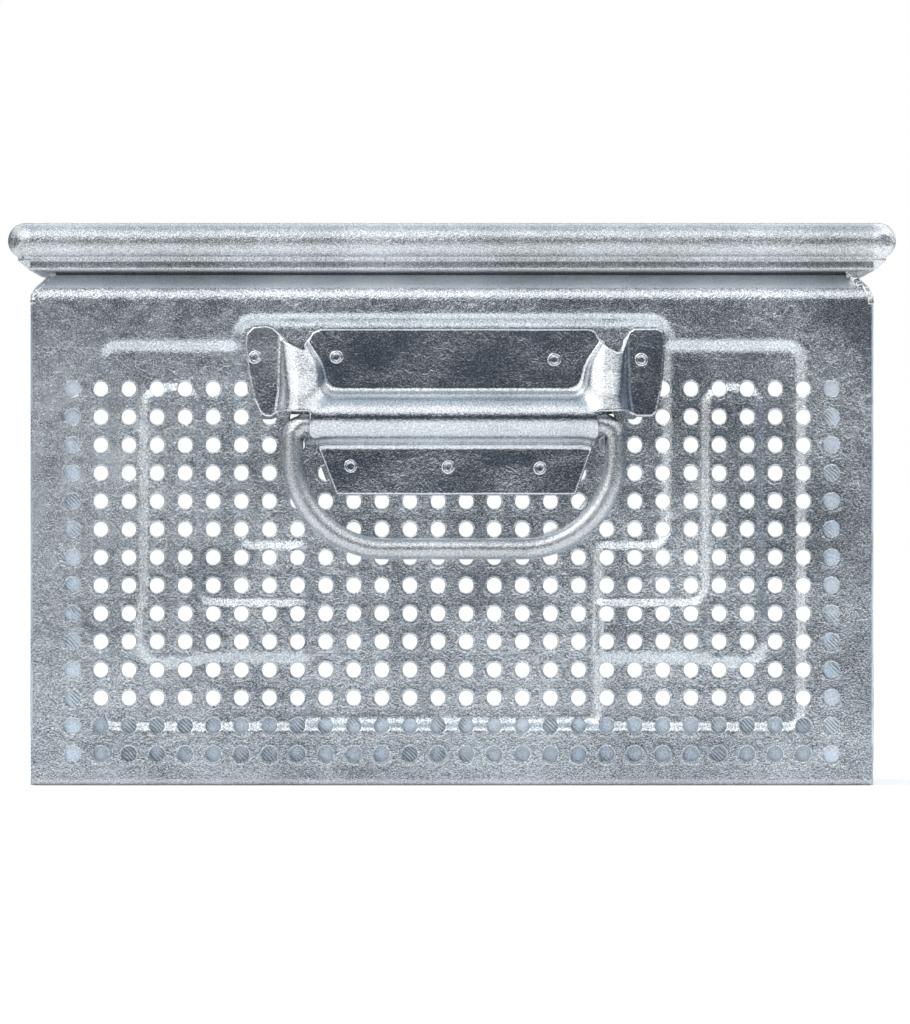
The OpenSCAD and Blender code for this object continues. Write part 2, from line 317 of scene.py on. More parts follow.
def face_outwards(mesh):
    bm = bmesh.new()
    bm.from_mesh(mesh)
    bmesh.ops.recalc_face_normals(bm, faces=bm.faces)
    bm.to_mesh(mesh)
    bm.free()


def place_piece(name, mesh, material, body, node, sharp):
    """Puts a finished mesh in the scene, smooth but for its sharp edges."""
    mesh.polygons.foreach_set("use_smooth", [True] * len(mesh.polygons))
    mesh.set_sharp_from_angle(angle=math.radians(sharp))
    mesh.materials.append(material)
    piece = bpy.data.objects.new(name, mesh)
    bpy.context.collection.objects.link(piece)
    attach(piece, body)
    if node:
        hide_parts(node)
    return piece


def make_piece(name, points, faces, material, body, node=None, sharp=40):
    """A piece from faces that already look outwards."""
    mesh = bpy.data.meshes.new(name)
    faces = [clean(face) for face in np.asarray(faces).tolist()]
    mesh.from_pydata((np.asarray(points) * MM).tolist(), [], faces)
    mesh.validate()
    return place_piece(name, mesh, material, body, node, sharp)


def make_capped(name, points, quads, caps, material, node, body="box", sharp=40):
    """A piece from quads and end faces of many corners."""
    mesh = bpy.data.meshes.new(name)
    faces = [clean(face) for face in quads.tolist()] + [tuple(int(i) for i in cap) for cap in caps]
    mesh.from_pydata((points * MM).tolist(), [], faces)
    mesh.validate()
    face_outwards(mesh)
    return place_piece(name, mesh, material, body, node, sharp)


def turned(x, out, z, side):
    """Wall coordinates, along it, outwards and up, as points of the model, for a wall of the box."""
    half = HALF_D if side in ("front", "rear") else HALF_W
    far = half + out
    if side == "front":
        return np.column_stack([x, -far, z])
    if side == "rear":
        return np.column_stack([-x, far, z])
    if side == "right":
        return np.column_stack([far, x, z])
    return np.column_stack([-far, -x, z])


def smooth(value):
    value = np.clip(value, 0, 1)
    return value * value * (3 - 2 * value)


def round_box(x, z, low, high, radius):
    """Distance to a rectangle with round corners, negative inside."""
    centre = (np.array(low) + np.array(high)) / 2
    half = (np.array(high) - np.array(low)) / 2 - radius
    dx = np.abs(x - centre[0]) - half[0]
    dz = np.abs(z - centre[1]) - half[1]
    outside = np.hypot(np.maximum(dx, 0), np.maximum(dz, 0))
    return outside + np.minimum(np.maximum(dx, dz), 0) - radius


def blend_min(a, b, k):
    h = np.maximum(k - np.abs(a - b), 0) / k
    return np.minimum(a, b) - h * h * k / 4


def ripple(x, z, seed, size):
    """A gentle unevenness, between about -1 and 1, from a few waves with fixed directions."""
    random = np.random.default_rng(seed)
    total = 0
    for _ in range(7):
        angle = random.uniform(0, math.pi)
        wave = size * random.uniform(0.6, 1.8)
        phase = random.uniform(0, 2 * math.pi)
        total = total + np.sin((x * math.cos(angle) + z * math.sin(angle)) * 2 * math.pi / wave + phase)
    return total / 7 * 1.6


# Walls

# How wide the slopes of the bead, the wide field and the middle field are.
SLOPE = 3.0
FIELD_SLOPE = 3.6
MIDDLE_SLOPE = 4.2
# Lower and upper edge of the wide field, of the middle field's wide and narrow part, and of the bead's
# upright and level part; and how far the field and the bead stay from the wall's end.
FIELD_Z = (20.8, 156.4)
MIDDLE_WIDE_Z = (85.4, 165.5)
MIDDLE_NARROW_Z = (22.4, 120)
BEAD_UPRIGHT_Z = (45.2, 141.6)
BEAD_LEVEL_Z = (45.2, 64.9)
FIELD_MARGIN = 25.8
BEAD_MARGIN = 40.2
BEAD_WIDTH = 19.7
UNEVEN = 0.16
UNEVEN_SIZE = 55


def press(distance, slope=SLOPE):
    """How far a field is pressed in, from 0 outside to 1 inside its outline."""
    return smooth(0.5 - distance / slope)


def pressed_depth(x, z, half, wide, narrow, seed):
    """Depth of the pressed wall below its margin."""
    across = np.abs(x)
    edge = half - FIELD_MARGIN
    field = round_box(x, z, (-edge, FIELD_Z[0]), (edge, FIELD_Z[1]), 5)
    middle = blend_min(round_box(x, z, (-wide, MIDDLE_WIDE_Z[0]), (wide, MIDDLE_WIDE_Z[1]), 6),
                       round_box(x, z, (-narrow, MIDDLE_NARROW_Z[0]), (narrow, MIDDLE_NARROW_Z[1]), 4), 3)
    out = half - BEAD_MARGIN
    upright = round_box(across, z, (out - BEAD_WIDTH, BEAD_UPRIGHT_Z[0]), (out, BEAD_UPRIGHT_Z[1]), 7)
    level = round_box(across, z, (narrow - 12, BEAD_LEVEL_Z[0]), (out, BEAD_LEVEL_Z[1]), 6)
    bead = blend_min(upright, level, 7)
    deep = press(middle, MIDDLE_SLOPE)
    depth = FIELD_DEPTH * press(field, FIELD_SLOPE)
    depth = depth - BEAD_H * press(bead) * press(field)
    depth = depth * (1 - deep) + MIDDLE_DEPTH * deep
    return depth + UNEVEN * ripple(x, z, seed, UNEVEN_SIZE)


BEND_R = 8.0
BEND_Z = SHOULDER_Z - BEND_R * math.tan(math.radians(22.5))
SHOULDER_FROM = BEND_Z + 0.62 * BEND_R


def shoulder_rows():
    """The section of the bend and the shoulder: distance outwards, height and normal."""
    rows = []
    for angle in np.radians([5, 10, 15, 20, 25, 30, 35, 40, 45]):
        rows.append((BEND_R * (math.cos(angle) - 1), BEND_Z + BEND_R * math.sin(angle),
                     math.cos(angle), math.sin(angle)))
    u, z = rows[-1][:2]
    slope = math.atan2(NECK_Z - z, NECK_IN + u)
    for share in (0.3, 0.6, 0.85, 1.0):
        rows.append((u + share * (-NECK_IN - u), z + share * (NECK_Z - z),
                     math.sin(slope), math.cos(slope)))
    return rows


def wall_rows(cell_lines):
    """The wall's section from the floor to the neck: distance outwards, height and normal."""
    rows = []
    curl = 1.2
    for angle in np.radians([-90, -60, -30, 0]):
        rows.append((curl * (math.cos(angle) - 1), curl * (1 + math.sin(angle)),
                     math.cos(angle), math.sin(angle)))
    low, high = cell_lines[0], cell_lines[-1]
    for z in np.linspace(curl, low, 5)[1:-1]:
        rows.append((0, z, 1, 0))
    start = len(rows)
    for z in cell_lines:
        rows.append((0, z, 1, 0))
    end = len(rows) - 1
    for z in np.linspace(high, BEND_Z, 22)[1:]:
        rows.append((0, z, 1, 0))
    rows += shoulder_rows()
    return np.array(rows), start, end


def wall_grid(columns, step, sides, half, edge, mitre_half):
    """A wall as flat quads with round holes: for each point its place along the wall and its row."""
    centre_z = CAMERA_Z + (FIRST_ROW_Z + (ROWS - 1) / 2 * PITCH - CAMERA_Z) * step / PITCH
    fan = np.tan(np.radians(np.linspace(-45, 45, sides // 4 + 1))) / 2
    first_x = -(columns - 1) / 2 * step
    first_z = centre_z - (ROWS - 1) / 2 * step
    lines_x = np.unique(np.round(np.concatenate(
        [first_x + i * step + fan * step for i in range(columns)]), 5))
    lines_z = np.unique(np.round(np.concatenate(
        [first_z + j * step + fan * step for j in range(ROWS)]), 5))
    margin = np.linspace(lines_x[-1], edge, 7)[1:]
    all_x = np.concatenate([-margin[::-1], lines_x, margin])
    rows, start, end = wall_rows(lines_z)
    gx, gr = np.meshgrid(all_x, np.arange(len(rows)), indexing="ij")
    u, z = rows[gr, 0], rows[gr, 1]
    # The shoulder narrows to the mitre at each corner.
    last = lines_x[-1]
    limit = np.where(z > SHOULDER_Z - 2.2, np.minimum(mitre_half, half + u), edge)
    beyond = np.abs(gx) > last + 1e-6
    scaled = np.sign(gx) * (last + (np.abs(gx) - last) * (limit - last) / (edge - last))
    gx = np.where(beyond, scaled, gx)
    flat = np.column_stack([gx.ravel(), u.ravel(), z.ravel(), rows[gr, 2].ravel(),
                            rows[gr, 3].ravel(), np.zeros(gx.size)])
    nx, nr = gx.shape
    index = np.arange(nx * nr).reshape(nx, nr)
    quads = np.stack([index[:-1, :-1], index[1:, :-1], index[1:, 1:], index[:-1, 1:]], -1)
    keep = np.ones((nx - 1, nr - 1), bool)
    keep[6:-6, start:end] = False
    parts = [flat]
    faces = [quads[keep]]
    count = len(flat)
    cell, cell_faces = hole_cell(sides, step)
    for i in range(columns):
        for j in range(ROWS):
            part = np.zeros((len(cell), 6))
            part[:, 0] = cell[:, 0] + first_x + i * step
            part[:, 2] = cell[:, 1] + first_z + j * step
            part[:, 3] = 1
            part[:, 5] = cell[:, 2]
            parts.append(part)
            faces.append(cell_faces + count)
            count += len(cell)
    points = np.concatenate(parts)
    kept, faces = weld_points(points[:, [0, 1, 2]], np.concatenate(faces))
    return points[kept], faces


# The lip of a punched hole: radius, and how far it lies below the sheet.
HOLE_LIP = [(HOLE_R + 0.06, 0.45), (HOLE_R + 0.12, 0.18), (HOLE_R + 0.20, 0.04), (HOLE_R + 0.36, 0.0),
            (HOLE_R + 0.75, -0.08), (HOLE_R + 1.20, 0.0)]


def hole_cell(sides, step):
    """One hole and the square of sheet round it: along, up, and how far the lip is rounded in."""
    angles = np.radians(np.arange(sides) * 360 / sides + 45)
    ring = np.column_stack([np.cos(angles), np.sin(angles)])
    square = ring / np.max(np.abs(ring), axis=1)[:, None] * step / 2
    loops = []
    for radius, sink in HOLE_LIP:
        loops.append(np.column_stack([ring * radius, np.full(sides, sink)]))
    outer = ring * HOLE_LIP[-1][0]
    for share in (0.45, 1.0):
        loops.append(np.column_stack([outer * (1 - share) + square * share, np.zeros(sides)]))
    points = np.concatenate(loops)
    faces = []
    for k in range(len(loops) - 1):
        for i in range(sides):
            j = (i + 1) % sides
            faces.append((k * sides + i, (k + 1) * sides + i, (k + 1) * sides + j, k * sides + j))
    return points, np.array(faces)


def make_wall(name, side, columns, step, sides, wide, narrow, material, shoulder, seed):
    """A pressed and perforated wall; wide and narrow are the half widths of its middle field."""
    end = side in ("front", "rear")
    half = HALF_W if end else HALF_D
    edge = half - 0.7 if end else half - SHEET - 2.4
    mitre_half = half - 0.7 if end else half
    points, quads = wall_grid(columns, step, sides, half, edge, mitre_half)
    x, u, z, nu, nz, sink = points.T
    flat = (nu > 0.999) & (u > -0.001)
    depth = np.where(flat, pressed_depth(x, z, half, wide, narrow, seed),
                     UNEVEN * ripple(x, z, seed, UNEVEN_SIZE))
    fade = smooth((z - 2) / 5) * smooth((SHOULDER_Z - 2 - z) / 5) * smooth((edge - np.abs(x)) / 5)
    depth = np.where(z > 20, depth, depth * fade)
    depth = np.where(z > 166, depth * fade, depth)
    depth = depth * smooth((edge - np.abs(x)) / 5)
    front = turned(x, u - (depth + sink) * nu, z, side)
    back_sink = SHEET - sink
    back = turned(x, u - (depth + back_sink) * nu, z - back_sink * nz, side)
    count = len(points)
    faces = shell_faces(quads, count)
    piece = make_piece(name, np.concatenate([front, back]), faces, material, "box", name)
    # The shoulder faces get a much lighter copy of the sheet's zinc: painted light.
    piece.data.materials.append(shoulder)
    for face in piece.data.polygons:
        if face.center.z > SHOULDER_FROM * MM:
            face.material_index = 1
    return piece


def make_corner_flanges(side_name, material):
    """The side sheet's bend at each end, and the flange that it turns in to behind the end wall."""
    points, faces = [], []
    radius = 2.4
    width = 18.5
    top = SHOULDER_Z - 1.4
    for end in (-1, 1):
        path = []
        for angle in np.radians(np.linspace(0, 90, 9)):
            path.append((math.sin(angle), math.cos(angle)))
        outer = [(HALF_D - SHEET - radius + radius * s, -(1 - c) * radius, s, c) for s, c in path]
        outer.append((HALF_D - SHEET, -width, 1.0, 0.0))
        heights = np.linspace(0, top, 30)
        base = len(points)
        for along, out, s, c in outer:
            for z in heights:
                points.append((end * along, out, z))
            for z in heights:
                points.append((end * (along - SHEET * s), out - SHEET * c, z))
        rows = len(heights)
        grid = np.arange(len(outer) * 2 * rows).reshape(len(outer), 2, rows) + base
        for i in range(len(outer) - 1):
            for j in range(rows - 1):
                for layer in (0, 1):
                    quad = [grid[i, layer, j], grid[i + 1, layer, j],
                            grid[i + 1, layer, j + 1], grid[i, layer, j + 1]]
                    faces.append(quad if (layer == 0) == (end > 0) else quad[::-1])
            for j in (0, rows - 1):
                quad = [grid[i, 0, j], grid[i, 1, j], grid[i + 1, 1, j], grid[i + 1, 0, j]]
                faces.append(quad if (j == 0) == (end > 0) else quad[::-1])
        for i in (0, len(outer) - 1):
            for j in range(rows - 1):
                quad = [grid[i, 0, j], grid[i, 0, j + 1], grid[i, 1, j + 1], grid[i, 1, j]]
                faces.append(quad if (i == 0) == (end > 0) else quad[::-1])
    x, u, z = np.array(points).T
    name = side_name + "_wall_end_flanges"
    return make_piece(name, turned(x, u, z, side_name), faces, material, "box")


# Stacking rim

ROLL_R = 6.4
ROLL_U = 1.6
ROLL_Z = 193.6
HEM_U = 0.6
SEAM_Z = 182.0


def rim_outline():
    """The rim's section, anticlockwise from the neck: distance outwards and height."""
    under = [(-8.1, 181.3), (-7.55, 181.3), (-7.3, SEAM_Z + 0.2), (-2.9, 182.65), (-2.2, 182.7),
             (-0.8, 182.8), (0.2, 183.1), (0.75, 183.5), (0.98, 183.9)]
    hem = [(1.0, 184.3), (0.93, 185.2), (0.82, 186.0), (1.1, 186.08), (3.6, 186.12), (4.1, 186.3),
           (4.4, 186.65), (4.35, 187.0), (4.2, 187.2)]
    inner = [(HEM_U, 193), (HEM_U, 186.6), (0.2, 186.0), (-4, 184.2), (-8.1, 183.6)]
    return np.array(under + hem + roll_points() + inner)


def roll_points():
    """The rolled edge, from its lower end to its lip inside."""
    points = []
    for angle in np.radians(np.linspace(-62, 90, 30)):
        points.append((ROLL_U + ROLL_R * math.cos(angle), ROLL_Z + ROLL_R * math.sin(angle)))
    return points + [(1.1, 199.95), (0.75, 199.7), (HEM_U, 199.2)]


def corner_outline():
    """The section of the rim's round ends, which has no neck."""
    hem = [(HEM_U, 183.3), (1.3, 183.9), (2.2, 184.75), (3.2, 185.6), (4.1, 186.35), (4.4, 186.7),
           (4.35, 187.0)]
    return np.array(hem + roll_points() + [(HEM_U, 193), (HEM_U, 186.6)])


def make_rim_strip(name, side, material, seam, seed):
    half = HALF_W if side in ("front", "rear") else HALF_D
    outline = rim_outline()
    stations = np.concatenate([[-1.0], np.linspace(-1, 1, 61) * (1 - 9 / half), [1.0]])
    stations = np.unique(stations)
    points = []
    for station in stations:
        for u, z in outline:
            reach = half + min(u, 0)
            x = station * reach
            swell = min(0.0, 0.10 * float(ripple(np.array(x), np.array(z * 3 + u), seed, 40)) - 0.08)
            lift = smooth(np.array((z - 186) / 4)) * swell
            points.append((x, u + lift * min(1.0, max(0.0, (u - 2) / 2)), z))
    across = len(outline)
    count = len(stations)
    grid = np.arange(count * across).reshape(count, across)
    following = np.roll(grid, -1, axis=1)
    quads = np.stack([grid[:-1], grid[1:], following[1:], following[:-1]], -1).reshape(-1, 4)
    x, u, z = np.array(points).T
    piece = make_capped(name, turned(x, u, z, side), quads, [grid[0][::-1], grid[-1]], material, name)
    # Painted shade: the faces under the rim below the seam height get a near-black zinc that stands for the
    # shadow in the crease.
    piece.data.materials.append(seam)
    for face in piece.data.polygons:
        if face.center.z < SEAM_Z * MM:
            face.material_index = 1
    return piece


def make_rim_corner(name, turn, x_sign, y_sign, material, seed):
    """The round end where two rims meet, swept about the body's upright edge."""
    outline = corner_outline()
    steps = 18
    points = []
    for k in range(steps + 1):
        angle = math.radians(turn + 90 * k / steps)
        share = math.sin(math.pi * k / steps)
        for u, z in outline:
            bump = 0.35 * share * float(ripple(np.array(k * 1.6), np.array(z * 2.0 + u), seed, 8))
            reach = u + bump * smooth(np.array((u - 2) / 3)) - 0.25 * share * smooth(np.array((u - 5) / 3))
            points.append((x_sign * HALF_W + reach * math.cos(angle),
                           y_sign * HALF_D + reach * math.sin(angle), z))
    across = len(outline)
    grid = np.arange((steps + 1) * across).reshape(steps + 1, across)
    following = np.roll(grid, -1, axis=1)
    quads = np.stack([grid[:-1], grid[1:], following[1:], following[:-1]], -1).reshape(-1, 4)
    return make_capped(name, np.array(points), quads, [grid[0][::-1], grid[-1]], material, name, sharp=50)


# Handle plate

PLATE_OUTLINE = [
    (43.3, 103.2), (49.6, 120.5), (51.4, 124.0), (51.6, 133.0), (61.6, 133.2), (62.8, 132.2), (65.0, 131.0),
    (70.4, 131.0), (72.1, 132.6), (73.9, 141.0), (75.2, 158.4), (74.6, 161.4), (72.8, 162.6), (64.4, 162.6),
    (62.4, 161.4), (61.0, 157.6), (59.6, 154.4), (58.0, 154.4), (54.6, 156.2), (52.2, 158.2), (50.4, 161.4),
    (48.6, 162.4), (-47.5, 162.4), (-50.5, 161.0), (-51.9, 158.6), (-52.7, 155.2), (-53.7, 155.0),
    (-57.7, 156.8), (-61.1, 158.6), (-62.1, 160.6), (-64.3, 162.8), (-66.7, 163.6), (-71.6, 163.2),
    (-74.0, 160.6), (-74.4, 157.0), (-73.2, 146.5), (-71.2, 137.3), (-69.0, 132.4), (-67.1, 131.0),
    (-64.7, 131.0), (-63.1, 132.4), (-61.9, 133.2), (-51.6, 133.0), (-51.4, 124.0), (-48.6, 120.5),
    (-41.9, 103.2)]
CHANNEL_Z = 130.5
CHANNEL_U = 1.4
TUBE_R = 8.9
FILLET_R = 2.4
HORN_X = 54.6
HORN_FOOT = 8.6
CHANNEL_HALF = 52.5
TUBE_FOOT = math.sqrt((TUBE_R + FILLET_R) ** 2 - (SHEET + FILLET_R - CHANNEL_U) ** 2)


def polygon_distance(x, z, polygon):
    """Distance to the outline, negative inside, and the nearest point on it."""
    best = np.full(x.shape, 1e9)
    near_x, near_z = np.zeros(x.shape), np.zeros(x.shape)
    inside = np.zeros(x.shape, bool)
    for (ax, az), (bx, bz) in zip(polygon, np.roll(polygon, -1, axis=0)):
        ex, ez = bx - ax, bz - az
        t = np.clip(((x - ax) * ex + (z - az) * ez) / (ex * ex + ez * ez), 0, 1)
        px, pz = ax + t * ex, az + t * ez
        d = np.hypot(x - px, z - pz)
        closer = d < best
        best = np.where(closer, d, best)
        near_x, near_z = np.where(closer, px, near_x), np.where(closer, pz, near_z)
        if abs(ez) > 1e-9:
            crosses = (az > z) != (bz > z)
            inside ^= crosses & (x < ex * (z - az) / ez + ax)
    return np.where(inside, -best, best), near_x, near_z


def tube_height(distance):
    """Height of the pressed tube's outside over the plate's back, by distance from its middle line."""
    foot = TUBE_FOOT
    meet = foot * TUBE_R / (TUBE_R + FILLET_R)
    d = np.maximum(distance, 0)
    top = CHANNEL_U + np.sqrt(np.maximum(TUBE_R ** 2 - d ** 2, 0))
    fillet = SHEET + FILLET_R - np.sqrt(np.maximum(FILLET_R ** 2 - (foot - d) ** 2, 0))
    return np.where(d < meet, top, np.where(d < foot, fillet, SHEET))


def plate_height(x, z):
    across = np.abs(x)
    end = np.where(z < CHANNEL_Z, CHANNEL_HALF + 8, CHANNEL_HALF)
    channel = np.hypot(z - CHANNEL_Z, np.maximum(across - end, 0))
    # Each horn keeps its width on its outer side, and curves in on its inner side towards its open end.
    foot = np.where(across > HORN_X, HORN_FOOT,
                    np.interp(z, [141, 146, 149, 152, 155, 158], [10.6, 9.5, 8.7, 7.2, 5.0, 2.8]))
    reach = np.abs(across - HORN_X) / foot
    horn = TUBE_FOOT * np.hypot(reach, np.minimum(z - CHANNEL_Z, 0) / TUBE_FOOT)
    distance = blend_min(channel, horn, 5)
    # The horns lean back towards their open ends.
    lean = np.interp(z, [133, 139, 147, 158, 163], [1.0, 0.85, 0.60, 0.32, 0.27])
    lean = 1 - (1 - lean) * smooth((across - 40) / 12)
    tube = SHEET + (tube_height(distance) - SHEET) * lean
    dish = 0.12 * ripple(x, z, 21, 30)
    return tube + dish * smooth((distance - 12) / 6)


def make_handle_plate(name, side, material):
    cell = 0.36
    polygon = np.array(PLATE_OUTLINE)
    xs = np.arange(-76, 76 + cell / 2, cell)
    zs = np.arange(102, 164 + cell / 2, cell)
    x, z = np.meshgrid(xs, zs, indexing="ij")
    d, near_x, near_z = polygon_distance(x, z, polygon)
    snap = np.abs(d) < cell * 0.52
    x, z = np.where(snap, near_x, x), np.where(snap, near_z, z)
    ok = snap | (d < 0)
    index = np.arange(x.size).reshape(x.shape)
    quads = np.stack([index[:-1, :-1], index[1:, :-1], index[1:, 1:], index[:-1, 1:]], -1).reshape(-1, 4)
    good = ok.ravel()[quads]
    full = quads[good.all(axis=1)]
    three = quads[good.sum(axis=1) == 3]
    lost = (~ok.ravel()[three]).argmax(axis=1)
    for k in range(len(three)):
        three[k, lost[k]] = three[k, (lost[k] + 1) % 4]
    faces = np.concatenate([full, three])
    flat_x, flat_z = x.ravel(), z.ravel()
    # A cell whose corners all lie on the outline may be outside it.
    mid_x, mid_z = flat_x[faces].mean(axis=1), flat_z[faces].mean(axis=1)
    faces = faces[polygon_distance(mid_x, mid_z, polygon)[0] < 0.02]
    points = np.column_stack([flat_x, np.zeros(x.size), flat_z])
    kept, faces = weld_points(points, faces)
    px, pz = flat_x[kept], flat_z[kept]
    inside = np.maximum(-polygon_distance(px, pz, polygon)[0], 0)
    height = plate_height(px, pz)
    step = 0.05
    slope_x = (plate_height(px + step, pz) - plate_height(px - step, pz)) / (2 * step)
    slope_z = (plate_height(px, pz + step) - plate_height(px, pz - step)) / (2 * step)
    size = np.sqrt(1 + slope_x ** 2 + slope_z ** 2)
    nx, nu, nz = -slope_x / size, 1 / size, -slope_z / size
    roll = 0.55
    drop = np.where(inside < roll, roll - np.sqrt(np.maximum(roll ** 2 - (roll - inside) ** 2, 0)), 0)
    offset = PLATE_BACK - HALF_D
    front_u = height - drop * nu
    front = turned(px - drop * nx + HANDLE_X, offset + front_u, pz - drop * nz, side)
    back_u = np.maximum(height - SHEET * nu, 0.0)
    back = turned(px - SHEET * nx + HANDLE_X, offset + back_u, pz - SHEET * nz, side)
    count = len(px)
    return make_piece(name, np.concatenate([front, back]), shell_faces(faces, count), material, "box",
                      name, sharp=55)


WELD_SPOTS = [(-70.1, 152.3), (-41.1, 152.3), (36.4, 151.4), (67.4, 151.4),
              (-36.1, 113.5), (-1.4, 113.2), (31.3, 112.8)]
# The section of a spot weld: distance from its middle, and how far it stands proud.
WELD_RING = [(0.0, 0.0), (0.7, 0.02), (1.25, 0.06), (1.6, 0.18), (1.85, 0.24), (2.1, 0.19),
             (2.3, 0.08), (2.45, -0.05)]


def make_plate_welds(name, side, material):
    """Each spot weld as a shallow crater with a raised ring."""
    turns = 36
    points, faces = [], []
    for number, (x, z) in enumerate(WELD_SPOTS):
        base = len(points)
        for radius, lift in WELD_RING:
            for k in range(turns):
                angle = 2 * math.pi * k / turns
                lump = 1 + 0.03 * math.sin(2 * angle + number) + 0.015 * math.sin(5 * angle + 2 * number)
                points.append((x + radius * lump * math.cos(angle), SHEET + lift,
                               z + radius * lump * math.sin(angle)))
        for ring in range(len(WELD_RING) - 1):
            for k in range(turns):
                j = (k + 1) % turns
                faces.append((base + ring * turns + k, base + (ring + 1) * turns + k,
                              base + (ring + 1) * turns + j, base + ring * turns + j))
        last = base + (len(WELD_RING) - 1) * turns
        centre = len(points)
        points.append((x, SHEET - 0.05, z))
        for k in range(turns):
            faces.append((last + (k + 1) % turns, last + k, centre, centre))
    px, pu, pz = np.array(points).T
    world = turned(px, PLATE_BACK - HALF_D + pu, pz, side)
    kept, packed = weld_points(world, np.array(faces))
    return make_piece(name, world[kept], packed, material, "box", name, sharp=60)


# Swinging handle

PIVOT_Z = 128.4
PIVOT_U = 4.2
LEG_X = 57.4
ROD_R = 3.8
GRIP_DROP = 44.35
CORNER_R = 33.0
TOP_BEND_R = 5.0
STUB_END = 30.0


def handle_path():
    """The rod's middle line from one turned-in end to the other, in the plane of the loop."""
    half = []
    for x in np.linspace(0, LEG_X - CORNER_R, 10)[:-1]:
        half.append((x, -GRIP_DROP))
    for angle in np.radians(np.linspace(-90, 0, 22)):
        half.append((LEG_X - CORNER_R + CORNER_R * math.cos(angle),
                     CORNER_R - GRIP_DROP + CORNER_R * math.sin(angle)))
    for angle in np.radians(np.linspace(0, 90, 12)):
        half.append((LEG_X - TOP_BEND_R + TOP_BEND_R * math.cos(angle),
                     -TOP_BEND_R + TOP_BEND_R * math.sin(angle)))
    for x in np.linspace(LEG_X - TOP_BEND_R, STUB_END, 7)[1:]:
        half.append((x, 0.0))
    half = np.array(half)
    left = half[1:][::-1] * np.array([-1, 1])
    return np.concatenate([left, half])


def make_handle(name, side, body, material, seed):
    path = handle_path()
    tangent = np.gradient(path, axis=0)
    tangent /= np.linalg.norm(tangent, axis=1)[:, None]
    normal = np.column_stack([-tangent[:, 1], tangent[:, 0]])
    around = 28
    points = []
    for i, ((x, z), (nx, nz)) in enumerate(zip(path, normal)):
        lumps = smooth(np.array((z + 17) / 9)) * smooth(np.array((abs(x) - 44) / 5))
        end = min(i, len(path) - 1 - i)
        shrink = 1.0 if end > 0 else 0.86
        for k in range(around):
            angle = 2 * math.pi * k / around
            rough = float(ripple(np.array(i * 2.2 + 9 * math.cos(angle)),
                                 np.array(9 * math.sin(angle)), seed, 8))
            radius = ROD_R * shrink - 0.04 + 0.05 * rough + 0.16 * lumps * rough
            radius = min(radius, ROD_R + 0.12)
            c, s = math.cos(angle) * radius, math.sin(angle) * radius
            points.append((x + nx * c, s, z + nz * c))
    count = len(path)
    grid = np.arange(count * around).reshape(count, around)
    following = np.roll(grid, -1, axis=1)
    quads = np.stack([grid[:-1], following[:-1], following[1:], grid[1:]], -1).reshape(-1, 4)
    px, pu, pz = np.array(points).T
    world = turned(px + HANDLE_X, PLATE_BACK - HALF_D + PIVOT_U + pu, pz + PIVOT_Z, side)
    return make_capped(name, world, quads, [grid[0], grid[-1][::-1]], material, name, body, sharp=60)


# Corner welds

# The thick end of the front right weld: along the front, outwards, up, and radius.
WELD_LUMPS = [(143.2, -4.6, 179.6, 2.4), (142.0, -5.2, 181.6, 2.0), (145.0, -3.4, 177.4, 1.9),
              (141.0, -5.0, 183.2, 1.5)]

WELD_BEADS = 16
WELD_INSET = 1.15


def make_corner_welds(material):
    """A lumpy weld on each corner of the shoulder, up to the rim's seat."""
    random = np.random.default_rng(5)
    rows = np.array(shoulder_rows())
    path_z = np.linspace(BEND_Z + 0.6, NECK_Z + 0.8, WELD_BEADS)
    mesh = bpy.data.meshes.new("corner_welds")
    bm = bmesh.new()
    for sx in (-1, 1):
        for sy in (-1, 1):
            for u, z in zip(np.interp(path_z, rows[:, 1], rows[:, 0]), path_z):
                inset = u - WELD_INSET
                place = Vector((sx * (HALF_W + inset), sy * (HALF_D + inset), z - 0.5))
                place += Vector(random.uniform(-0.12, 0.12, 3))
                made = bmesh.ops.create_icosphere(bm, subdivisions=3, radius=random.uniform(1.35, 1.55))
                bmesh.ops.translate(bm, verts=made["verts"], vec=place)
    for x, out, z, radius in WELD_LUMPS:
        made = bmesh.ops.create_icosphere(bm, subdivisions=3, radius=radius)
        bmesh.ops.translate(bm, verts=made["verts"], vec=(x, -HALF_D - out, z))
    bm.to_mesh(mesh)
    bm.free()
    mesh.transform(Matrix.Scale(MM, 4))
    lumps = bpy.data.objects.new("corner_welds", mesh)
    bpy.context.collection.objects.link(lumps)
    remesh = lumps.modifiers.new("fuse", "REMESH")
    remesh.mode = "VOXEL"
    remesh.voxel_size = 0.0004
    remesh.use_smooth_shade = True
    bpy.context.view_layer.update()
    fused = bpy.data.meshes.new_from_object(lumps.evaluated_get(bpy.context.evaluated_depsgraph_get()))
    bpy.data.objects.remove(lumps)
    places = np.zeros(len(fused.vertices) * 3)
    fused.vertices.foreach_get("co", places)
    places = places.reshape(-1, 3)
    wave = ripple(places[:, 0] / MM, places[:, 1] / MM + places[:, 2] / MM, 9, 2.4)
    normals = np.zeros(len(fused.vertices) * 3)
    fused.vertices.foreach_get("normal", normals)
    places = places + normals.reshape(-1, 3) * wave[:, None] * 0.15 * MM
    fused.vertices.foreach_set("co", places.ravel())
    fused.polygons.foreach_set("use_smooth", [True] * len(fused.polygons))
    fused.name = "corner_weld_beads"
    fused.materials.clear()
    fused.materials.append(material)
    piece = bpy.data.objects.new("corner_weld_beads", fused)
    bpy.context.collection.objects.link(piece)
    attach(piece, "box")
    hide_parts("corner_welds")
    return piece


# The whole box

make_camera()
make_world()
make_floor()
make_lamp("ceiling_left", (-1.2, -1.6, 1.9), (0, 0, 0.1), (1.6, 1.2), 8)

